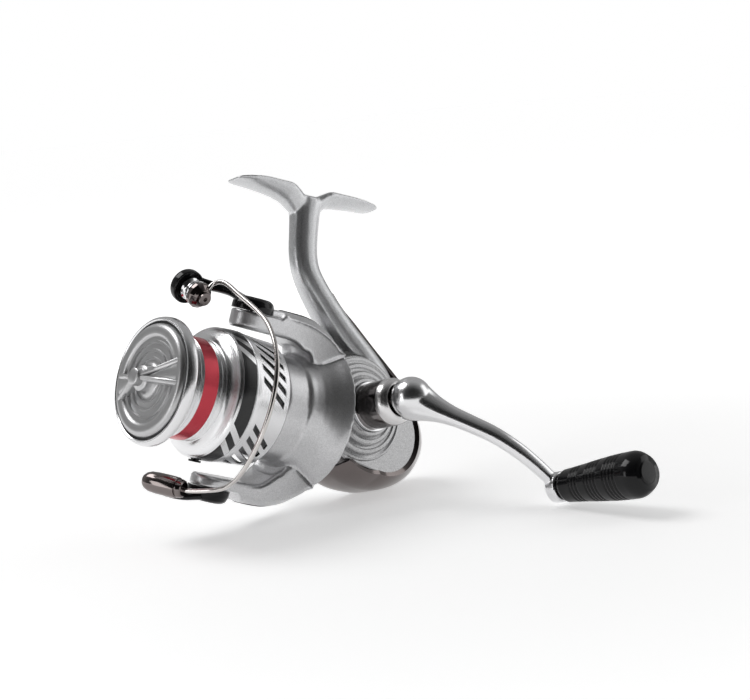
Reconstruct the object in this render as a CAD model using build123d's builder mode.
"""Front-drag spinning reel, 2500 size, as an assembly of separate sub-parts (millimetres).

The reel is drawn in its shaft frame: +Y runs back along the main shaft from the spool's
front lip, +X is the handle side and +Z points to the rod. finish() turns each sub-part
into the row frame, whose origin is on the foot's rear seat pad, with +Z as its normal.
"""

import os
from math import cos, radians, sin

from build123d import *

os.makedirs("parts", exist_ok=True)

# ---- driving dimensions -------------------------------------------------------------
RUN = 0.05  # radial running clearance of a shaft in its hole

FOOT_TILT = 4.0  # the seat leans back against the main shaft, degrees
SEAT_Y, SEAT_Z = 64.0, 87.0  # the middle of the foot's top in the shaft frame
PAD_ALONG = 16.0  # the rear seat pad's centre, along the foot from its middle
FOOT_WIDTH = 13.0

SHAFT_R = 1.5
DRIVE_Y, DRIVE_Z = 86.7, 3.6  # crank axis, offset above the main shaft
DRIVE_R = 3.5
ARM_DROP = -35.9  # handle arm's direction at rest, degrees from +Y about +X
ROTOR_REST = 18.0  # rotor arms' turn from +Z towards +X at rest, degrees

LIP_R = 23.0
ARBOR_R = 18.2
SKIRT_R = 24.0
SKIRT_END = 44.3
SKIRT_SLOTS = 20
SLOTS_IN_GROUP = 5
SLOT_START, SLOT_PITCH = 46.8, 12.0  # first slot's middle and the step between slots, degrees
SPOOL_WEB = 11.0

DRUM_R = 19.7
ROTOR_FRONT, ROTOR_REAR = 46.0, 70.5
ROTOR_RIM_R = 28.2
PIVOT_Y = 35.0  # bail pivot's station along the shaft
ARM_HALF = 7.4
UPPER_IN, UPPER_PAD, UPPER_OUT = 25.4, 31.9, 35.0
LOWER_IN, LOWER_PAD, LOWER_OUT = 28.4, 32.6, 36.0
PIVOT_R = 2.0

HOUSING_R = 20.6
LOBE_Y, LOBE_Z, LOBE_R = 99.5, -3.0, 16.3
HOUSING_LEFT, HOUSING_RIGHT = -14.5, 9.0
WALL = 2.5

MODULE = 0.85
PINION_TEETH, DRIVE_TEETH = 7, 37
PINION_PITCH = MODULE * PINION_TEETH / 2
MESH_ARM = MODULE * DRIVE_TEETH / 2  # from the crank axis to the pinion's mid tooth

OSC_MODULE, OSC_SMALL, OSC_LARGE = 0.8, 12, 24
OSC_LINE = -25.0  # direction from the crank axis to the oscillation gear, degrees
OSC_CENTRES = OSC_MODULE * (OSC_SMALL + OSC_LARGE) / 2
OSC_Y = DRIVE_Y + OSC_CENTRES * cos(radians(OSC_LINE))
OSC_Z = DRIVE_Z + OSC_CENTRES * sin(radians(OSC_LINE))
OSC_LEFT, OSC_RIGHT = 5.2, 7.8
STROKE = 13.5
CRANK_PIN_Y = OSC_Y - STROKE / 2

FOLD_X = 39.5
BARREL_END = 31.6
ARM_LENGTH = 52.2
KNOB_START, KNOB_END = 76.2, 114.5

# ---- frames -------------------------------------------------------------------------
ACROSS = Vector(cos(radians(ROTOR_REST)), 0, -sin(radians(ROTOR_REST)))
RADIAL = Vector(sin(radians(ROTOR_REST)), 0, cos(radians(ROTOR_REST)))
BACK = Vector(0, 1, 0)
ROTOR_SIDE = Plane(origin=(0, 0, 0), x_dir=BACK, z_dir=ACROSS)
ROTOR_PLAN = Plane(origin=(0, 0, 0), x_dir=ACROSS, z_dir=RADIAL)
DRIVE = Plane(origin=(0, DRIVE_Y, DRIVE_Z), x_dir=(0, 1, 0), z_dir=(1, 0, 0))
OSC = Plane(origin=(0, OSC_Y, OSC_Z), x_dir=(0, 1, 0), z_dir=(1, 0, 0))
ALONG = Vector(0, cos(radians(ARM_DROP)), sin(radians(ARM_DROP)))
PIN_LINE = Vector(0, -sin(radians(ARM_DROP)), cos(radians(ARM_DROP)))
HANDLE = Plane(origin=(0, DRIVE_Y, DRIVE_Z), x_dir=ALONG, z_dir=(1, 0, 0))
HANDLE_SIDE = Plane(origin=(0, DRIVE_Y, DRIVE_Z), x_dir=ALONG, z_dir=-PIN_LINE)
FOOT_LINE = Vector(0, cos(radians(FOOT_TILT)), sin(radians(FOOT_TILT)))
FOOT_SIDE = Plane(origin=(0, SEAT_Y, SEAT_Z), x_dir=FOOT_LINE, z_dir=(1, 0, 0))
FOOT_TOP = Plane(origin=(0, SEAT_Y, SEAT_Z), x_dir=(1, 0, 0), z_dir=Vector(1, 0, 0).cross(FOOT_LINE))
TO_FOOT = Location((0, 0, 0), (-FOOT_TILT, 0, 0)) * Location((0, -SEAT_Y, -SEAT_Z))
TO_ROW = Location((0, -PAD_ALONG, 0)) * TO_FOOT


def station(y):
    """Plane across the main shaft at station y, facing the reel's front."""
    return Plane.XZ.offset(-y)


def on_rotor(t, y, a):
    """Point t across, y along and a out from the main shaft, on the rotor at rest."""
    return ACROSS * t + BACK * y + RADIAL * a


def on_handle(x, s, w=0.0):
    """Point x out along the crank axis, s along the handle arm and w along the fold pin."""
    return Vector(x, DRIVE_Y, DRIVE_Z) + ALONG * s + PIN_LINE * w


def finish(piece, name):
    """Label a finished sub-part, move it to the row frame and write its STEP file."""
    placed = piece.part.moved(TO_ROW)
    placed.label = name
    export_step(placed, f"parts/{name}.step")


def revolved(outline):
    """Solid of revolution about the main shaft from a closed outline of (y, radius)."""
    with BuildPart() as piece:
        with BuildSketch(Plane.YZ):
            with BuildLine():
                Polyline(*outline, close=True)
            make_face()
        revolve(axis=Axis.Y)
    return piece


def ring(plane, inner, outer, length):
    """Plain ring on a plane, thickened along the plane's normal."""
    with BuildPart() as piece:
        with BuildSketch(plane):
            Circle(outer)
            Circle(inner, mode=Mode.SUBTRACT)
        extrude(amount=length)
    return piece


def shaft_ring(inner, outer, front, rear):
    """Ring about the main shaft between two stations."""
    return ring(station(rear), inner, outer, rear - front)


def toothed(plane, length, teeth, root_r, tip_r, root_w, tip_w, phase):
    """Spur wheel with straight-sided teeth, the first one at phase degrees."""
    with BuildPart() as wheel:
        with BuildSketch(plane):
            Circle(root_r)
            with PolarLocations(0, teeth, start_angle=phase):
                with BuildLine():
                    Polyline(
                        (root_r - 0.4, -root_w / 2),
                        (tip_r, -tip_w / 2),
                        (tip_r, tip_w / 2),
                        (root_r - 0.4, root_w / 2),
                        close=True,
                    )
                make_face()
        extrude(amount=length)
    return wheel


def case_block(left, right, grow=0.0):
    """Solid with the gear case's side outline: round drive housing and rear lobe."""
    with BuildPart() as block:
        with BuildSketch(Plane.YZ.offset(left)):
            with Locations((DRIVE_Y, DRIVE_Z)):
                Circle(HOUSING_R + grow)
            with Locations((LOBE_Y, LOBE_Z)):
                Circle(LOBE_R + grow)
            make_hull()
        extrude(amount=right - left)
    return block


# ---- body, foot and stem ------------------------------------------------------------
COVER_SCREWS = [(78.5, 21.1), (78.5, -13.9), (107.0, -16.0), (100.3, 17.2)]
case_outer = case_block(HOUSING_LEFT, HOUSING_RIGHT)
case_inner = case_block(HOUSING_LEFT + WALL - 0.5, HOUSING_RIGHT, grow=-WALL)
cover_side = case_block(HOUSING_RIGHT, HOUSING_RIGHT + 12)
case_keep_out = case_block(-20, 20, grow=0.12)
cover_plate = case_block(HOUSING_RIGHT, HOUSING_RIGHT + WALL)
NECK_R, NECK_FRONT, NECK_REAR = 15.3, 55.6, 72.0
CLUTCH_SEAT_R, CLUTCH_END = 13.0, 61.8
BEARING_SEAT_R, BEARING_END = 8.55, 67.1

with BuildPart() as leg:
    for y, z, lean, wide, deep in (
        (64.6, 80.0, 0, 9.5, 11.0),
        (64.6, 60.0, 0, 9.0, 9.2),
        (73.5, 48.0, 38, 10.0, 9.2),
        (96.0, 23.5, 45, 19.0, 14.0),
    ):
        across = Plane(
            origin=(0, y, z),
            x_dir=(1, 0, 0),
            z_dir=(0, -sin(radians(lean)), cos(radians(lean))),
        )
        with BuildSketch(across):
            RectangleRounded(wide, deep, 3.0)
    loft(ruled=False)

with BuildPart() as foot_plan:
    with BuildSketch(FOOT_TOP.offset(-16)):
        with BuildLine():
            Polyline(
                (-3.5, -33.5),
                (3.5, -33.5),
                (6.5, -30.0),
                (6.5, -10.0),
                (4.9, -4.0),
                (4.9, 4.0),
                (6.5, 10.0),
                (6.5, 31.0),
                (3.5, 34.5),
                (-3.5, 34.5),
                (-6.5, 31.0),
                (-6.5, 10.0),
                (-4.9, 4.0),
                (-4.9, -4.0),
                (-6.5, -10.0),
                (-6.5, -30.0),
                close=True,
            )
        make_face()
    extrude(amount=18)

with BuildPart() as foot:
    with BuildSketch(FOOT_SIDE.offset(-FOOT_WIDTH / 2)):
        with BuildLine():
            Polyline(
                (-33.5, -1.5),
                (-22.0, 0.0),
                (-9.0, 0.0),
                (-3.2, -3.2),
                (3.2, -3.2),
                (9.0, 0.0),
                (23.0, 0.0),
                (34.5, -1.1),
                (34.5, -2.3),
                (13.0, -4.6),
                (7.0, -7.5),
                (5.0, -11.0),
                (-5.0, -11.0),
                (-7.5, -8.0),
                (-14.0, -5.0),
                (-33.5, -2.8),
                close=True,
            )
        make_face()
    extrude(amount=FOOT_WIDTH)
    add(foot_plan.part, mode=Mode.INTERSECT)

with BuildPart() as reel_body:
    add(case_outer.part)
    with BuildSketch(DRIVE.offset(HOUSING_LEFT - 2.7)):
        Circle(8.5)
    extrude(amount=WALL + 3.0)
    with BuildSketch(station(NECK_REAR)):
        Circle(NECK_R)
    extrude(amount=NECK_REAR - NECK_FRONT)
    add(leg.part)
    add(foot.part)
    add(case_inner.part, mode=Mode.SUBTRACT)
    add(cover_side.part, mode=Mode.SUBTRACT)
    with BuildSketch(station(NECK_REAR)):
        Circle(4.6)
    extrude(amount=NECK_REAR - NECK_FRONT, mode=Mode.SUBTRACT)
    with BuildSketch(station(BEARING_END)):
        Circle(BEARING_SEAT_R)
    extrude(amount=BEARING_END - NECK_FRONT, mode=Mode.SUBTRACT)
    with BuildSketch(station(CLUTCH_END)):
        Circle(CLUTCH_SEAT_R)
    extrude(amount=CLUTCH_END - NECK_FRONT, mode=Mode.SUBTRACT)
    with BuildSketch(DRIVE.offset(-12.0)):
        Circle(5.53)
    extrude(amount=-4.3, mode=Mode.SUBTRACT)
    with BuildSketch(DRIVE.offset(HOUSING_LEFT)):
        Circle(4.0)
    extrude(amount=-4.0, mode=Mode.SUBTRACT)
    with BuildSketch(Plane.YZ.offset(HOUSING_LEFT)):
        with Locations(*COVER_SCREWS):
            Circle(0.85)
    extrude(amount=HOUSING_RIGHT - HOUSING_LEFT, mode=Mode.SUBTRACT)
    with BuildSketch(Plane.XZ.offset(-104.0)):
        with Locations((0, -7.5)):
            Circle(1.22)
    extrude(amount=-20, mode=Mode.SUBTRACT)
    with BuildSketch(Plane.XZ.offset(-73.5)):
        with Locations((0, -7.5)):
            Circle(1.22)
    extrude(amount=4.5, mode=Mode.SUBTRACT)
    with BuildSketch(Plane.YZ.offset(-12.2)):
        with Locations((113.0, -8.0)):
            Circle(0.85)
    extrude(amount=-3.0, mode=Mode.SUBTRACT)
finish(reel_body, "reel_body")

with BuildPart() as side_cover:
    add(cover_plate.part)
    for radius, reach in ((17.0, 4.0), (14.0, 5.8), (11.0, 7.7)):
        with BuildSketch(DRIVE.offset(HOUSING_RIGHT)):
            Circle(radius)
        extrude(amount=reach)
    with BuildSketch(DRIVE.offset(HOUSING_RIGHT)):
        Circle(5.53)
    extrude(amount=5.3, mode=Mode.SUBTRACT)
    with BuildSketch(DRIVE.offset(HOUSING_RIGHT)):
        Circle(4.0)
    extrude(amount=8.0, mode=Mode.SUBTRACT)
    with BuildSketch(OSC.offset(OSC_LEFT - 0.6)):
        Circle(1.5)
    extrude(amount=HOUSING_RIGHT + 0.5 - OSC_LEFT + 0.6)
    with BuildSketch(Plane.YZ.offset(HOUSING_RIGHT)):
        with Locations(*COVER_SCREWS):
            Circle(0.85)
    extrude(amount=1.9, mode=Mode.SUBTRACT)
    outer_rim = side_cover.faces().sort_by(Axis.X)[-1].outer_wire().edges()
    chamfer(outer_rim, length=0.6)
finish(side_cover, "side_cover")

with BuildPart() as cover_screws:
    with BuildSketch(Plane.YZ.offset(HOUSING_LEFT - 1.0)):
        with Locations(*COVER_SCREWS):
            Circle(0.8)
    extrude(amount=HOUSING_RIGHT + 2.8 - HOUSING_LEFT)
    with BuildSketch(Plane.YZ.offset(HOUSING_LEFT)):
        with Locations(*COVER_SCREWS):
            Circle(1.5)
    extrude(amount=-1.0)
finish(cover_screws, "cover_screws")

with BuildPart() as rear_cover:
    with BuildSketch(Plane.YZ.offset(-12.4)):
        with BuildLine():
            Spline(
                (79.0, -19.6),
                (92.0, -23.6),
                (106.0, -22.8),
                (119.0, -16.0),
                (126.6, -4.0),
                (121.0, 9.0),
                (109.0, 18.2),
            )
            Line((109.0, 18.2), (100.0, 10.0))
            Line((100.0, 10.0), (79.0, -19.6))
        make_face()
    extrude(amount=24.8)
    rear_edges = [edge for edge in rear_cover.faces().filter_by(Axis.X).edges() if edge.center().Y > 105]
    fillet([edge for edge in rear_edges if edge.center().X < 0], radius=3.0)
    chamfer([edge for edge in rear_edges if edge.center().X > 0], length=5.5)
    add(case_keep_out.part, mode=Mode.SUBTRACT)
    with BuildSketch(Plane.YZ.offset(-10.4)):
        with BuildLine():
            Spline(
                (84.0, -18.0),
                (92.0, -21.4),
                (105.0, -20.6),
                (117.0, -14.4),
                (124.0, -4.0),
                (119.0, 7.4),
                (110.5, 14.2),
            )
            Line((110.5, 14.2), (100.0, 8.0))
            Line((100.0, 8.0), (84.0, -18.0))
        make_face()
    extrude(amount=17.8, mode=Mode.SUBTRACT)
    with BuildSketch(Plane.YZ.offset(-12.4)):
        with Locations((119.0, -6.0)):
            Circle(1.9)
    extrude(amount=1.0, mode=Mode.SUBTRACT)
finish(rear_cover, "rear_cover")

with BuildPart() as rear_cover_screw:
    with BuildSketch(Plane.YZ.offset(-12.2)):
        with Locations((119.0, -6.0)):
            Circle(1.8)
            RegularPolygon(0.8, 6, mode=Mode.SUBTRACT)
    extrude(amount=0.75)
finish(rear_cover_screw, "rear_cover_screw")

# ---- crank: drive gear, bearings, shank ---------------------------------------------
FACE_ROOT = -PINION_PITCH - 0.75
FACE_TIP = -PINION_PITCH + 0.55

small_wheel = toothed(
    DRIVE.offset(OSC_LEFT),
    OSC_RIGHT - OSC_LEFT,
    OSC_SMALL,
    OSC_MODULE * OSC_SMALL / 2 - 0.8,
    OSC_MODULE * OSC_SMALL / 2 + 0.55,
    1.5,
    0.75,
    OSC_LINE,
)

with BuildPart() as drive_gear:
    with BuildSketch(DRIVE.offset(-16.9)):
        Circle(DRIVE_R - 0.03)
    extrude(amount=16.9 - 3.7)
    with BuildSketch(DRIVE.offset(-3.7)):
        Circle(1.8)
    extrude(amount=7.9)
    with BuildSketch(DRIVE.offset(4.2)):
        Circle(DRIVE_R - 0.03)
    extrude(amount=16.4 - 4.2)
    with BuildSketch(DRIVE.offset(FACE_ROOT - 3.4)):
        Circle(17.2)
    extrude(amount=3.4)
    with BuildSketch(DRIVE.offset(FACE_ROOT - 3.4)):
        with PolarLocations(10.4, 6):
            Circle(2.6)
    extrude(amount=3.4, mode=Mode.SUBTRACT)
    with BuildSketch(DRIVE.offset(FACE_ROOT - 0.3)):
        with PolarLocations(0, DRIVE_TEETH):
            with Locations((-MESH_ARM, -DRIVE_Z)):
                Rectangle(2.4, 0.8)
    extrude(amount=FACE_TIP - FACE_ROOT + 0.3)
    add(small_wheel.part)
    for mouth, depth in ((-16.9, 7.6), (16.4, -7.6)):
        with BuildSketch(DRIVE.offset(mouth)):
            Circle(2.0)
        extrude(amount=depth, mode=Mode.SUBTRACT)
finish(drive_gear, "drive_gear")

for side, left_face in (("left", -16.2), ("right", 11.2)):
    bearing = ring(DRIVE.offset(left_face), DRIVE_R, 5.5, 3.0)
    finish(bearing, f"drive_bearing_{side}")

with BuildPart() as handle_shank:
    with BuildSketch(HANDLE.offset(17.0)):
        Circle(9.4)
    extrude(amount=1.6)
    with BuildSketch(HANDLE.offset(18.6)):
        Circle(8.6)
    extrude(amount=BARREL_END - 18.6)
    with BuildSketch(HANDLE_SIDE.offset(-3.1)):
        with Locations((0, FOLD_X)):
            Circle(5.0)
        with Locations((0, (BARREL_END + FOLD_X) / 2)):
            Rectangle(10.0, FOLD_X - BARREL_END + 0.2)
        with Locations((0, FOLD_X)):
            Circle(PIVOT_R, mode=Mode.SUBTRACT)
    extrude(amount=6.2)
    with BuildSketch(HANDLE.offset(9.0)):
        Circle(1.95)
    extrude(amount=8.2)
finish(handle_shank, "handle_shank")

with BuildPart() as handle_screw_cap:
    with BuildSketch(DRIVE.offset(-17.4)):
        Circle(7.4)
    extrude(amount=-2.6)
    with BuildSketch(DRIVE.offset(-17.4)):
        Circle(1.95)
    extrude(amount=7.0)
    chamfer(handle_screw_cap.faces().sort_by(Axis.X)[0].edges(), length=0.7)
finish(handle_screw_cap, "handle_screw_cap")

PIN_HALF = 6.4
with BuildPart() as fold_pin:
    with BuildSketch(HANDLE_SIDE.offset(-PIN_HALF)):
        with Locations((0, FOLD_X)):
            Circle(PIVOT_R)
    extrude(amount=2 * PIN_HALF)
finish(fold_pin, "fold_pin")

with BuildPart() as arm_bar:
    with BuildLine():
        arm_path = Spline(
            on_handle(FOLD_X + 4.2, 5.0),
            on_handle(50.5, 11.6),
            on_handle(62.0, 22.0),
            on_handle(70.0, 38.0),
            on_handle(73.1, ARM_LENGTH - 2.0),
        )
    with BuildSketch(Plane(origin=arm_path @ 0, x_dir=PIN_LINE, z_dir=arm_path % 0)):
        RectangleRounded(7.4, 5.2, 2.0)
    with BuildSketch(Plane(origin=arm_path @ 1, x_dir=PIN_LINE, z_dir=arm_path % 1)):
        RectangleRounded(5.4, 3.4, 1.4)
    sweep(path=arm_path, multisection=True)

EYE = 5.35  # reach of the fold joint's slot from its pin
with BuildPart() as handle_arm:
    with Locations(on_handle(FOLD_X, 0)):
        Sphere(7.6)
    add(arm_bar.part)
    with BuildSketch(HANDLE.offset(70.8)):
        with Locations((ARM_LENGTH, 0)):
            Circle(5.6)
    extrude(amount=4.6)
    with BuildSketch(HANDLE_SIDE.offset(-3.4)):
        with Locations((0, FOLD_X)):
            Circle(EYE)
        with BuildLine():
            Polyline(
                (EYE, FOLD_X),
                (EYE, FOLD_X - 12),
                (-12, FOLD_X - 12),
                (-12, FOLD_X + EYE),
                (0, FOLD_X + EYE),
                (0, FOLD_X),
                close=True,
            )
        make_face()
    extrude(amount=6.8, mode=Mode.SUBTRACT)
    with BuildSketch(HANDLE_SIDE.offset(-10)):
        with Locations((0, FOLD_X)):
            Circle(PIVOT_R + RUN)
    extrude(amount=20, mode=Mode.SUBTRACT)
    with BuildSketch(HANDLE.offset(70)):
        with Locations((ARM_LENGTH, 0)):
            Circle(2.0)
    extrude(amount=6, mode=Mode.SUBTRACT)
finish(handle_arm, "handle_arm")

with BuildPart() as knob_spindle:
    with BuildSketch(HANDLE.offset(71.0)):
        with Locations((ARM_LENGTH, 0)):
            Circle(2.0)
    extrude(amount=37.0)
    with BuildSketch(HANDLE.offset(108.0)):
        with Locations((ARM_LENGTH, 0)):
            Circle(2.7)
    extrude(amount=1.6)
finish(knob_spindle, "knob_spindle")

KNOB_AXIS = Axis(on_handle(0, ARM_LENGTH), (1, 0, 0))
with BuildPart() as handle_knob:
    with BuildSketch(HANDLE_SIDE):
        with BuildLine():
            Polyline(
                (ARM_LENGTH + 3.1, KNOB_START),
                (ARM_LENGTH + 6.0, KNOB_START),
                (ARM_LENGTH + 7.4, KNOB_START + 12),
                (ARM_LENGTH + 8.3, KNOB_START + 27),
                (ARM_LENGTH + 8.2, KNOB_END - 4),
                (ARM_LENGTH + 6.4, KNOB_END - 0.8),
                (ARM_LENGTH + 4.35, KNOB_END),
                (ARM_LENGTH + 4.35, KNOB_END - 1.8),
                (ARM_LENGTH + 3.1, KNOB_END - 1.8),
                close=True,
            )
        make_face()
    revolve(axis=KNOB_AXIS)
finish(handle_knob, "handle_knob")

with BuildPart() as knob_cap:
    with BuildSketch(HANDLE.offset(KNOB_END - 1.75)):
        with Locations((ARM_LENGTH, 0)):
            Circle(4.3)
    extrude(amount=1.7)
finish(knob_cap, "knob_cap")

with BuildPart() as knob_bushings:
    for left_face in (KNOB_START + 0.6, 103.4):
        with BuildSketch(HANDLE.offset(left_face)):
            with Locations((ARM_LENGTH, 0)):
                Circle(3.05)
                Circle(2.0 + RUN, mode=Mode.SUBTRACT)
        extrude(amount=3.6)
finish(knob_bushings, "knob_bushings")

# ---- oscillation: gear, crosshead, guide rod, main shaft -----------------------------
large_wheel = toothed(
    OSC.offset(OSC_LEFT),
    OSC_RIGHT - OSC_LEFT,
    OSC_LARGE,
    OSC_MODULE * OSC_LARGE / 2 - 0.8,
    OSC_MODULE * OSC_LARGE / 2 + 0.55,
    1.5,
    0.75,
    OSC_LINE + 180 + 180 / OSC_LARGE,
)

with BuildPart() as oscillation_gear:
    add(large_wheel.part)
    with BuildSketch(OSC.offset(OSC_LEFT)):
        with Locations((CRANK_PIN_Y - OSC_Y, 0)):
            Circle(1.2)
    extrude(amount=-1.3)
    with BuildSketch(OSC.offset(OSC_LEFT)):
        Circle(1.5 + RUN)
    extrude(amount=OSC_RIGHT - OSC_LEFT, mode=Mode.SUBTRACT)
finish(oscillation_gear, "oscillation_gear")

BLOCK_HALF = 2.2
BLOCK_LEFT, BLOCK_RIGHT = FACE_TIP + 0.25, 3.6
with BuildPart() as crosshead:
    with BuildSketch(station(CRANK_PIN_Y + BLOCK_HALF)):
        with Locations(((BLOCK_LEFT + BLOCK_RIGHT) / 2, -2.6)):
            Rectangle(BLOCK_RIGHT - BLOCK_LEFT, 16.6)
        Circle(SHAFT_R + 0.02, mode=Mode.SUBTRACT)
        with Locations((0, -7.5)):
            Circle(1.2 + RUN, mode=Mode.SUBTRACT)
    extrude(amount=2 * BLOCK_HALF)
    with BuildSketch(Plane.YZ.offset(1.9)):
        with Locations((CRANK_PIN_Y, OSC_Z)):
            Rectangle(2.6, 14.8)
    extrude(amount=2.0, mode=Mode.SUBTRACT)
finish(crosshead, "crosshead")

with BuildPart() as crosshead_screw:
    with BuildSketch(station(CRANK_PIN_Y + BLOCK_HALF)):
        Circle(1.9)
        RegularPolygon(1.0, 6, mode=Mode.SUBTRACT)
    extrude(amount=-1.5)
finish(crosshead_screw, "crosshead_screw")

with BuildPart() as guide_rod:
    with BuildSketch(station(114.2)):
        with Locations((0, -7.5)):
            Circle(1.2)
    extrude(amount=114.2 - 69.6)
finish(guide_rod, "guide_rod")

SHAFT_END = CRANK_PIN_Y + BLOCK_HALF
with BuildPart() as main_shaft:
    with BuildSketch(station(SHAFT_END)):
        Circle(SHAFT_R)
    extrude(amount=SHAFT_END + 5.0)
    with BuildSketch(station(29.6)):
        Circle(2.6)
    extrude(amount=1.4)
    with BuildSketch(Plane.XY.offset(-3)):
        with Locations((0, 26.6)):
            Circle(0.6)
    extrude(amount=6, mode=Mode.SUBTRACT)
finish(main_shaft, "main_shaft")

with BuildPart() as shaft_pin:
    with BuildSketch(Plane.XY.offset(-3.2)):
        with Locations((0, 26.6)):
            Circle(0.58)
    extrude(amount=6.4)
finish(shaft_pin, "shaft_pin")

# ---- pinion, one-way clutch and their retainer ---------------------------------------
PINION_FRONT, TEETH_FRONT, TEETH_REAR = 43.6, 69.2, 72.8
MESH_Y = DRIVE_Y - MESH_ARM

pinion_wheel = toothed(
    station(TEETH_REAR),
    TEETH_REAR - TEETH_FRONT,
    PINION_TEETH,
    PINION_PITCH - 0.8,
    PINION_PITCH + 0.5,
    1.2,
    0.7,
    0,
)

with BuildPart() as pinion_gear:
    with BuildSketch(station(68.4)):
        Circle(3.5)
    extrude(amount=68.4 - PINION_FRONT)
    with BuildSketch(station(74.0)):
        Circle(PINION_PITCH - 0.8)
    extrude(amount=74.0 - 68.4)
    add(pinion_wheel.part)
    with BuildSketch(station(74.0)):
        Circle(SHAFT_R + RUN)
    extrude(amount=74.0 - PINION_FRONT, mode=Mode.SUBTRACT)
finish(pinion_gear, "pinion_gear")

finish(shaft_ring(3.53, BEARING_SEAT_R - 0.03, 62.0, 67.0), "pinion_bearing")
finish(shaft_ring(8.85, CLUTCH_SEAT_R - 0.03, 56.0, CLUTCH_END - 0.05), "clutch_outer_ring")
finish(shaft_ring(3.52, 6.3, 52.8, 61.7), "clutch_sleeve")
finish(shaft_ring(6.7, NECK_R - 0.1, 54.4, NECK_FRONT - 0.02), "clutch_retainer")
finish(shaft_ring(NECK_R + 0.02, NECK_R + 1.1, 63.0, 65.4), "brake_ring")

with BuildPart() as clutch_rollers:
    with BuildSketch(station(61.4)):
        with PolarLocations(7.6, 6):
            Circle(1.2)
    extrude(amount=5.2)
finish(clutch_rollers, "clutch_rollers")

with BuildPart() as clutch_retainer_screws:
    with BuildSketch(station(54.38)):
        with PolarLocations(13.4, 3, start_angle=90):
            Circle(1.3)
            RegularPolygon(0.5, 6, mode=Mode.SUBTRACT)
    extrude(amount=0.7)
finish(clutch_retainer_screws, "clutch_retainer_screws")

ramp_seat = case_block(-20, 20, grow=0.02)
with BuildPart() as bail_trip_ramp:
    with BuildSketch(Plane.YZ.offset(3.0)):
        with BuildLine():
            Polyline((73.2, 21.0), (75.5, 17.5), (81.0, 17.8), (84.0, 24.3), (79.5, 24.8), close=True)
        make_face()
    extrude(amount=7.5)
    add(ramp_seat.part, mode=Mode.SUBTRACT)
finish(bail_trip_ramp, "bail_trip_ramp")

# ---- rotor ---------------------------------------------------------------------------
POCKET_HALF, POCKET_FRONT, POCKET_REAR = 4.2, 46.0, 63.5


def arm_plan(height):
    """Tall prism with a rotor arm's plan outline, narrow forward and flared at the back."""
    with BuildPart() as plan:
        with BuildSketch(ROTOR_PLAN.offset(height)):
            with Locations((0, PIVOT_Y)):
                Circle(ARM_HALF)
            with BuildLine():
                Polyline(
                    (-ARM_HALF, PIVOT_Y),
                    (ARM_HALF, PIVOT_Y),
                    (ARM_HALF, 60.0),
                    (15.0, ROTOR_REAR),
                    (-15.0, ROTOR_REAR),
                    (-ARM_HALF, 60.0),
                    close=True,
                )
            make_face()
        extrude(amount=30)
    return plan


def rotor_arm(inner, pad, outer, side):
    """One rotor arm, on the line roller's side (+1) or the opposite side (-1)."""
    with BuildPart() as arm:
        with BuildSketch(ROTOR_SIDE.offset(-16)):
            with BuildLine():
                Polyline(
                    (PIVOT_Y - ARM_HALF - 1, side * inner),
                    (PIVOT_Y - ARM_HALF - 1, side * pad),
                    (PIVOT_Y + 10.5, side * pad),
                    (PIVOT_Y + 12.0, side * outer),
                    (62.0, side * outer),
                    (67.5, side * (outer - 2.0)),
                    (ROTOR_REAR, side * (outer - 6.0)),
                    (ROTOR_REAR, side * 21.0),
                    (60.5, side * 21.0),
                    (56.0, side * inner),
                    close=True,
                )
            make_face()
        extrude(amount=32)
        add(arm_plan(10 if side > 0 else -40).part, mode=Mode.INTERSECT)
    return arm


upper_arm = rotor_arm(UPPER_IN, UPPER_PAD, UPPER_OUT, 1)
lower_arm = rotor_arm(LOWER_IN, LOWER_PAD, LOWER_OUT, -1)
drum = revolved(
    [
        (ROTOR_FRONT, 0.0),
        (ROTOR_FRONT, DRUM_R - 0.8),
        (ROTOR_FRONT + 0.8, DRUM_R),
        (60.0, DRUM_R),
        (64.0, 21.8),
        (68.0, 25.8),
        (ROTOR_REAR, ROTOR_RIM_R),
        (ROTOR_REAR, 0.0),
    ]
)
drum_cavity = revolved(
    [
        (48.5, 7.0),
        (48.5, DRUM_R - 1.8),
        (60.0, DRUM_R - 1.8),
        (64.0, 19.9),
        (68.0, 23.8),
        (ROTOR_REAR + 0.1, 26.3),
        (ROTOR_REAR + 0.1, 0.0),
        (52.6, 0.0),
        (52.6, 7.0),
    ]
)

with BuildPart() as rotor:
    add(drum.part)
    add(upper_arm.part)
    add(lower_arm.part)
    add(drum_cavity.part, mode=Mode.SUBTRACT)
    with BuildSketch(station(60.0)):
        Circle(3.52)
    extrude(amount=20, mode=Mode.SUBTRACT)
    for side, floor, roof in ((1, UPPER_OUT - 5.6, UPPER_OUT), (-1, LOWER_OUT - 4.6, LOWER_OUT)):
        with BuildSketch(ROTOR_PLAN.offset(side * floor)):
            with Locations((0, (POCKET_FRONT + POCKET_REAR) / 2)):
                RectangleRounded(2 * POCKET_HALF, POCKET_REAR - POCKET_FRONT, 1.5)
        extrude(amount=side * (roof - floor + 2), mode=Mode.SUBTRACT)
        with BuildSketch(ROTOR_PLAN.offset(side * (roof - 1.4))):
            with Locations((0, (POCKET_FRONT + POCKET_REAR) / 2)):
                RectangleRounded(2 * POCKET_HALF + 3, POCKET_REAR - POCKET_FRONT + 3, 2.0)
        extrude(amount=side * 4, mode=Mode.SUBTRACT)
    with BuildSketch(ROTOR_PLAN.offset(20.5)):
        with Locations((-1.6, 67.0)):
            Rectangle(2.4, 8.0)
    extrude(amount=11.0, mode=Mode.SUBTRACT)
    for side in (1, -1):
        with BuildSketch(ROTOR_PLAN.offset(side * 24)):
            with Locations((0, PIVOT_Y)):
                Circle(1.2)
        extrude(amount=side * 10, mode=Mode.SUBTRACT)
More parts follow.
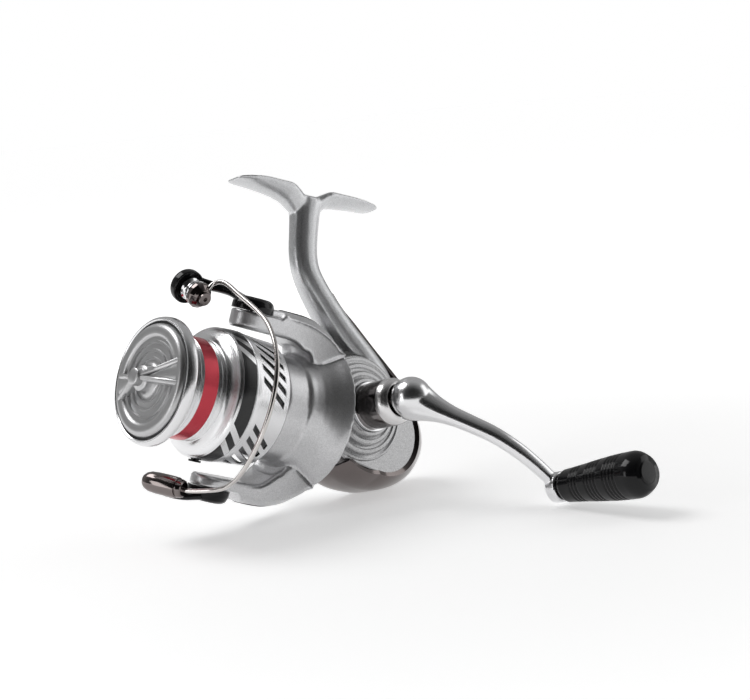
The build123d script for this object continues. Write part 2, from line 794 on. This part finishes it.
finish(rotor, "rotor")

for name, side, roof in (("upper_arm_cover", 1, UPPER_OUT), ("lower_arm_cover", -1, LOWER_OUT)):
    with BuildPart() as arm_cover:
        with BuildSketch(ROTOR_PLAN.offset(side * (roof - 1.35))):
            with Locations((0, (POCKET_FRONT + POCKET_REAR) / 2)):
                RectangleRounded(2 * POCKET_HALF + 2.9, POCKET_REAR - POCKET_FRONT + 2.9, 1.95)
        extrude(amount=side * 1.7)
        with BuildSketch(ROTOR_PLAN.offset(side * roof)):
            with Locations((0, POCKET_REAR - 2.4)):
                Circle(1.45)
        extrude(amount=side * 0.5, mode=Mode.SUBTRACT)
    finish(arm_cover, name)

with BuildPart() as arm_cover_screws:
    for side, roof in ((1, UPPER_OUT), (-1, LOWER_OUT)):
        with BuildSketch(ROTOR_PLAN.offset(side * (roof + 0.02))):
            with Locations((0, POCKET_REAR - 2.4)):
                Circle(1.4)
                RegularPolygon(0.6, 6, mode=Mode.SUBTRACT)
        extrude(amount=side * 0.5)
finish(arm_cover_screws, "arm_cover_screws")

with BuildPart() as rotor_nut:
    with BuildSketch(station(ROTOR_FRONT - 0.02)):
        RegularPolygon(6.0, 6)
        Circle(3.52, mode=Mode.SUBTRACT)
    extrude(amount=3.4)
finish(rotor_nut, "rotor_nut")

with BuildPart() as nut_lock_screw:
    with BuildSketch(station(ROTOR_FRONT - 0.02)):
        with Locations((0, 8.6)):
            Circle(1.8)
            RegularPolygon(0.7, 6, mode=Mode.SUBTRACT)
    extrude(amount=1.0)
finish(nut_lock_screw, "nut_lock_screw")

with BuildPart() as bail_spring:
    with BuildLine():
        coil = Helix(pitch=2.0, height=11.0, radius=1.2, center=on_rotor(2.1, 49.0, 31.3), direction=BACK)
    with BuildSketch(Plane(origin=coil @ 0, z_dir=coil % 0)):
        Circle(0.3)
    sweep(path=coil, is_frenet=True)
finish(bail_spring, "bail_spring")

with BuildPart() as kick_lever:
    with BuildSketch(ROTOR_SIDE.offset(-2.4)):
        with BuildLine():
            Polyline(
                (47.5, 29.7),
                (47.5, 31.2),
                (66.9, 31.2),
                (68.9, 29.2),
                (68.9, 22.4),
                (67.2, 22.4),
                (67.2, 28.4),
                (66.0, 29.7),
                close=True,
            )
        make_face()
    extrude(amount=1.6)
finish(kick_lever, "kick_lever")

# ---- bail ----------------------------------------------------------------------------
HEAD = on_rotor(-14.0, 14.2, 35.5)
ROLLER_LINE = on_rotor(0.948, 0.129, -0.293).normalized()
WIRE_R = 0.8
LINK_LOW = 36.0  # the link's underside, above the rotor arm's cover as the bail swings back
SCREW_R = 1.2


def on_roller(along):
    """Plane across the line roller's axis, that far from the middle of the arm's head."""
    return Plane(origin=HEAD + ROLLER_LINE * along, x_dir=BACK.cross(ROLLER_LINE), z_dir=ROLLER_LINE)


CONE_EXIT = on_rotor(-3.4, 18.6, 38.4)
CONE_SEAT = on_rotor(-4.3, 17.0, 35.4)
SOCKET_TIP = on_rotor(-12.0, 15.0, -35.4)
SOCKET_MOUTH = on_rotor(3.0, 22.6, -34.9)
SOCKET_LINE = (SOCKET_MOUTH - SOCKET_TIP).normalized()

with BuildPart() as bail_wire:
    with BuildLine():
        wire_path = Spline(
            CONE_SEAT,
            CONE_EXIT,
            on_rotor(1.5, 19.6, 39.3),
            on_rotor(10.0, 21.3, 36.0),
            on_rotor(20.0, 23.0, 32.0),
            on_rotor(29.0, 22.4, 28.0),
            on_rotor(37.2, 21.6, 21.0),
            on_rotor(42.4, 20.8, 12.5),
            on_rotor(44.0, 20.6, 2.0),
            on_rotor(42.8, 20.6, -8.0),
            on_rotor(38.8, 21.4, -17.0),
            on_rotor(33.5, 23.0, -23.0),
            on_rotor(25.0, 26.0, -28.0),
            on_rotor(16.0, 27.8, -31.6),
            SOCKET_MOUTH + SOCKET_LINE * 2.5,
            SOCKET_MOUTH - SOCKET_LINE * 4.0,
        )
    with BuildSketch(Plane(origin=wire_path @ 0, z_dir=wire_path % 0)):
        Circle(WIRE_R)
    sweep(path=wire_path)
finish(bail_wire, "bail_wire")

with BuildPart() as bail_arm:
    with BuildSketch(ROTOR_PLAN.offset(UPPER_PAD + 0.2)):
        with Locations((0, PIVOT_Y)):
            Circle(7.8)
    extrude(amount=3.3)
    with BuildSketch(ROTOR_PLAN.offset(UPPER_PAD + 3.5)):
        with Locations((0, PIVOT_Y)):
            Circle(7.8)
            Circle(4.1, mode=Mode.SUBTRACT)
    extrude(amount=LINK_LOW + 1.2 - UPPER_PAD - 3.5)
    reach = on_rotor(-16.2, 18.8, LINK_LOW + 1.8) - on_rotor(-4.9, 30.2, LINK_LOW + 1.4)
    with BuildSketch(Plane(origin=on_rotor(-4.9, 30.2, LINK_LOW + 1.4), x_dir=RADIAL, z_dir=reach)):
        RectangleRounded(2.8, 6.6, 1.2)
    extrude(amount=reach.length)
    with BuildSketch(on_roller(-2.0)):
        Circle(6.3)
    extrude(amount=4.0)
    with BuildSketch(on_roller(-2.0)):
        Circle(SCREW_R + 0.02)
    extrude(amount=4.0, mode=Mode.SUBTRACT)
    with BuildSketch(ROTOR_PLAN.offset(UPPER_PAD)):
        with Locations((0, PIVOT_Y)):
            Circle(PIVOT_R + RUN)
    extrude(amount=6, mode=Mode.SUBTRACT)
finish(bail_arm, "bail_arm")

with BuildPart() as line_roller:
    with BuildSketch(on_roller(2.4)):
        Circle(4.2)
    extrude(amount=0.8)
    with BuildSketch(on_roller(3.2)):
        Circle(3.4)
    extrude(amount=3.0)
    with BuildSketch(on_roller(6.2)):
        Circle(4.6)
    extrude(amount=0.9)
    with BuildSketch(on_roller(2.0)):
        Circle(1.75 + RUN)
    extrude(amount=6, mode=Mode.SUBTRACT)
finish(line_roller, "line_roller")

finish(ring(on_roller(2.02), SCREW_R + 0.02, 1.75, 5.4), "roller_bushing")

with BuildPart() as roller_screw:
    with BuildSketch(on_roller(-1.9)):
        Circle(SCREW_R)
    extrude(amount=13.3)
    with BuildSketch(on_roller(11.3)):
        Circle(2.4)
        RegularPolygon(0.9, 6, mode=Mode.SUBTRACT)
    extrude(amount=1.1)
finish(roller_screw, "roller_screw")

with BuildPart() as bail_cone:
    with BuildSketch(on_roller(7.45)):
        Circle(4.8)
    extrude(amount=1.6)
    with BuildSketch(on_roller(9.05)):
        Circle(4.8)
    with BuildSketch(on_roller(11.25)):
        Circle(3.0)
    loft()
    with BuildSketch(on_roller(7.4)):
        Circle(SCREW_R + 0.02)
    extrude(amount=6, mode=Mode.SUBTRACT)
    add(bail_wire.part, mode=Mode.SUBTRACT)
finish(bail_cone, "bail_cone")

with BuildPart() as bail_lever:
    with BuildSketch(ROTOR_PLAN.offset(-LOWER_PAD - 0.2)):
        with Locations((0, PIVOT_Y)):
            Circle(7.8)
    extrude(amount=-3.4)
    with BuildSketch(ROTOR_PLAN.offset(-LOWER_PAD - 3.6)):
        with Locations((0, PIVOT_Y)):
            Circle(7.8)
            Circle(4.1, mode=Mode.SUBTRACT)
    extrude(amount=-1.2)
    reach = on_rotor(-5.0, 19.0, -36.2) - on_rotor(-1.5, 30.0, -34.6)
    with BuildSketch(Plane(origin=on_rotor(-1.5, 30.0, -34.6), x_dir=RADIAL, z_dir=reach)):
        RectangleRounded(3.0, 8.6, 1.2)
    extrude(amount=reach.length)
    with BuildSketch(Plane(origin=SOCKET_TIP, z_dir=SOCKET_LINE)):
        Circle(3.9)
    extrude(amount=(SOCKET_MOUTH - SOCKET_TIP).length)
    add(bail_wire.part, mode=Mode.SUBTRACT)
    with BuildSketch(ROTOR_PLAN.offset(-LOWER_PAD)):
        with Locations((0, PIVOT_Y)):
            Circle(PIVOT_R + RUN)
    extrude(amount=-6, mode=Mode.SUBTRACT)
finish(bail_lever, "bail_lever")

with BuildPart() as bail_pivot_screws:
    for side, pad, head in ((1, UPPER_PAD, UPPER_PAD + 3.6), (-1, LOWER_PAD, LOWER_PAD + 3.7)):
        with BuildSketch(ROTOR_PLAN.offset(side * (pad + 0.02))):
            with Locations((0, PIVOT_Y)):
                Circle(PIVOT_R)
        extrude(amount=side * (head - pad))
        with BuildSketch(ROTOR_PLAN.offset(side * head)):
            with Locations((0, PIVOT_Y)):
                Circle(3.4)
        extrude(amount=side * 0.9)
        with BuildSketch(ROTOR_PLAN.offset(side * (pad + 0.02))):
            with Locations((0, PIVOT_Y)):
                Circle(1.15)
        extrude(amount=side * -4.0)
finish(bail_pivot_screws, "bail_pivot_screws")

# ---- spool ---------------------------------------------------------------------------
BUSH_R = 2.7
CAVITY_R = 14.0
spool_blank = revolved(
    [
        (0.4, 21.2),
        (0.0, 21.6),
        (0.5, 22.3),
        (3.0, LIP_R),
        (3.9, 22.6),
        (5.2, 20.4),
        (6.4, 18.8),
        (7.6, ARBOR_R),
        (18.6, ARBOR_R),
        (20.2, 19.0),
        (22.4, 23.2),
        (23.0, 23.7),
        (28.8, SKIRT_R),
        (29.4, 23.6),
        (SKIRT_END - 0.4, 22.9),
        (SKIRT_END, 22.4),
        (SKIRT_END - 0.4, 21.8),
        (26.0, 22.3),
        (24.4, 20.8),
        (22.6, ARBOR_R - 1.6),
        (SPOOL_WEB + 2.2, ARBOR_R - 1.6),
        (SPOOL_WEB + 2.2, 5.0),
        (24.0, 5.0),
        (24.0, BUSH_R + 0.02),
        (SPOOL_WEB, BUSH_R + 0.02),
        (SPOOL_WEB, CAVITY_R),
        (3.4, CAVITY_R),
        (3.4, 21.2),
    ]
)

CLIP_LINE = Vector(-6.6, 0, -23.0).normalized()
CLIP = Plane(origin=BACK * 25.6 + CLIP_LINE * 21.0, x_dir=BACK, z_dir=CLIP_LINE)

with BuildPart() as spool:
    add(spool_blank.part)
    for index in range(SKIRT_SLOTS):
        turn = radians(SLOT_START + 90.0 * (index // SLOTS_IN_GROUP) + SLOT_PITCH * (index % SLOTS_IN_GROUP))
        outward = Vector(sin(turn), 0, cos(turn))
        with BuildSketch(Plane(origin=BACK * 37.0 + outward * 20.5, x_dir=BACK, z_dir=outward)):
            with BuildLine():
                Polyline((-5.0, 2.7), (5.0, -4.8), (5.0, -2.4), (-5.0, 5.1), close=True)
            make_face()
        extrude(amount=5.0, mode=Mode.SUBTRACT)
    with BuildSketch(CLIP):
        Circle(1.55)
    extrude(amount=4.0, mode=Mode.SUBTRACT)
finish(spool, "spool")

with BuildPart() as line_clip:
    with BuildSketch(CLIP):
        Circle(1.5)
    extrude(amount=3.1)
    with BuildSketch(CLIP.offset(3.1)):
        Circle(2.3)
    extrude(amount=0.7)
finish(line_clip, "line_clip")

finish(shaft_ring(SHAFT_R + RUN, BUSH_R, SPOOL_WEB, 24.0), "spool_bushing")

DISC = 0.95
with BuildPart() as drag_washers_metal:
    for layer in (1, 3, 5):
        with BuildSketch(station(4.6 + layer * 1.0 + DISC)):
            Circle(CAVITY_R - 1.0)
            Circle(SHAFT_R + RUN, mode=Mode.SUBTRACT)
        extrude(amount=DISC)
finish(drag_washers_metal, "drag_washers_metal")

with BuildPart() as drag_washers_felt:
    for layer in (0, 2, 4):
        with BuildSketch(station(4.6 + layer * 1.0 + DISC)):
            Circle(CAVITY_R - 0.1)
            Circle(3.0, mode=Mode.SUBTRACT)
        extrude(amount=DISC)
finish(drag_washers_felt, "drag_washers_felt")

with BuildPart() as drag_retainer:
    with BuildSketch(Plane.YZ):
        with Locations((3.95, CAVITY_R - 0.5)):
            Circle(0.45)
    revolve(axis=Axis.Y, revolution_arc=345)
finish(drag_retainer, "drag_retainer")

FIN_SPREAD = 13.0
knob_blank = revolved(
    [
        (-7.6, 0.0),
        (-7.6, 2.2),
        (-6.8, 3.0),
        (-3.4, 3.6),
        (-2.2, 6.0),
        (-1.0, 8.2),
        (-1.0, 11.0),
        (-0.2, 12.0),
        (-0.2, 15.0),
        (-1.1, 16.2),
        (-0.9, 19.2),
        (0.6, 20.3),
        (2.9, 20.3),
        (2.9, 12.4),
        (0.8, 12.4),
        (0.8, 7.0),
        (3.2, 7.0),
        (3.2, 0.0),
    ]
)
with BuildPart() as drag_knob:
    add(knob_blank.part)
    for middle in (0, 180):
        for spread in (-FIN_SPREAD, FIN_SPREAD):
            turn = radians(middle + spread)
            fin_line = Vector(cos(turn), 0, sin(turn))
            with BuildSketch(Plane(origin=(0, 0, 0), x_dir=fin_line, z_dir=fin_line.cross(BACK))):
                with BuildLine():
                    Polyline((1.0, -6.9), (3.0, -6.6), (18.6, -1.6), (19.4, -0.4), (1.0, -0.4), close=True)
                make_face()
            extrude(amount=0.7, both=True)
    with BuildSketch(station(3.3)):
        RegularPolygon(4.0, 6)
    extrude(amount=3.9, mode=Mode.SUBTRACT)
    with BuildSketch(station(3.3)):
        Circle(SHAFT_R + 0.1)
    extrude(amount=8.8, mode=Mode.SUBTRACT)
finish(drag_knob, "drag_knob")

with BuildPart() as drag_knob_nut:
    with BuildSketch(station(2.0)):
        RegularPolygon(3.9, 6)
        Circle(SHAFT_R + RUN, mode=Mode.SUBTRACT)
    extrude(amount=2.4)
finish(drag_knob_nut, "drag_knob_nut")

with BuildPart() as drag_knob_spring:
    with BuildLine():
        knob_coil = Helix(pitch=0.8, height=1.6, radius=2.6, center=(0, 2.35, 0), direction=BACK)
    with BuildSketch(Plane(origin=knob_coil @ 0, z_dir=knob_coil % 0)):
        Circle(0.25)
    sweep(path=knob_coil, is_frenet=True)
finish(drag_knob_spring, "drag_knob_spring")

finish(shaft_ring(20.32, 21.0, 0.9, 2.6), "drag_knob_seal")

click_teeth = toothed(station(25.9), 1.3, 30, 6.6, 7.6, 0.9, 0.4, 0)
with BuildPart() as click_wheel:
    add(click_teeth.part)
    with BuildSketch(station(25.9)):
        Circle(SHAFT_R + RUN)
    extrude(amount=1.3, mode=Mode.SUBTRACT)
finish(click_wheel, "click_wheel")

with BuildPart() as click_pawl:
    with BuildSketch(station(23.0)):
        with Locations((0, 12.0)):
            Circle(1.5)
    extrude(amount=23.0 - SPOOL_WEB - 2.22)
    with BuildSketch(station(25.9)):
        with BuildLine():
            Polyline((-1.5, 12.6), (-1.0, 8.4), (0.0, 8.0), (1.0, 8.4), (1.5, 12.6), close=True)
        make_face()
    extrude(amount=2.92)
finish(click_pawl, "click_pawl")
